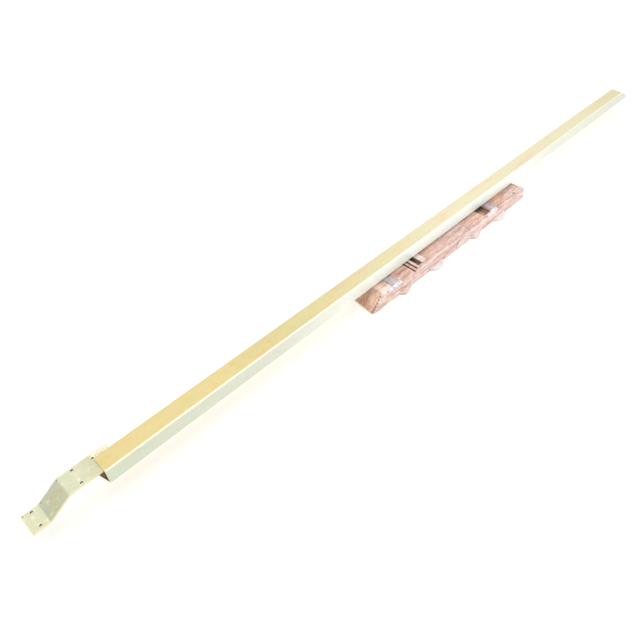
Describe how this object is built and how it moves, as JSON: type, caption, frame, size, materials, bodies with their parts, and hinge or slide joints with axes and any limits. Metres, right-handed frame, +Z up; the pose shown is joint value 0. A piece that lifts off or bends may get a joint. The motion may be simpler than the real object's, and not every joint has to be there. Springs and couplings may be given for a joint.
{
  "type": "bull float",
  "caption": "Wooden float blade with a long folded steel channel handle that swivels on its middle, and a joggled end strap.",
  "frame": {"origin": "middle of the blade's sole, straight under the swivel stud", "axes": "+X along the handle towards its plugged end, +Y out of the open side of the channel, +Z up from the sole"},
  "size_m": [2.196, 0.1165, 0.08],
  "materials": {
    "rough_wood": "rough sawn, reddish brown",
    "pale_wood": "planed, pale",
    "grey_steel": "dull grey strip",
    "bright_zinc": "bright zinc plated",
    "screw_steel": "worn plain steel",
    "nylon": "natural nylon",
    "yellow_passivate": "yellow passivated zinc, satin with rainbow tints",
    "pale_passivate": "pale olive passivated zinc, satin",
    "bronze": "sintered bronze"
  },
  "bodies": {
    "blade": {"blade": "rough_wood", "near_band": "grey_steel", "far_band": "grey_steel", "near_band_bar": "bright_zinc", "far_band_bar": "bright_zinc", "near_band_screws": "screw_steel", "far_band_screws": "screw_steel", "bar_nails": "screw_steel", "wear_plate": "pale_wood", "wear_plate_pins": "screw_steel", "near_lug": "bright_zinc", "far_lug": "bright_zinc", "lug_pins": "screw_steel", "end_screw": "screw_steel", "swivel_plate": "bright_zinc", "swivel_plate_screws": "screw_steel", "swivel_stud": "screw_steel", "bearing_washer": "nylon", "stop_pin": "bright_zinc"},
    "handle": {"channel": "yellow_passivate", "end_strap": "pale_passivate", "strap_weld": "bright_zinc", "swivel_bush": "bronze", "clamp_washer": "bright_zinc", "end_plug": "pale_wood", "plug_screw": "screw_steel"},
    "wing_nut": {"wing_nut": "bright_zinc"}
  },
  "joints": [
    {"name": "handle_swivel", "type": "hinge", "parent": "blade", "child": "handle", "pos_m": [0, 0, 0.04], "axis": [0, 0, 1], "continuous": true},
    {"name": "wing_nut_turn", "type": "hinge", "parent": "blade", "child": "wing_nut", "pos_m": [0, 0, 0.0455], "axis": [0, 0, 1], "continuous": true}
  ]
}
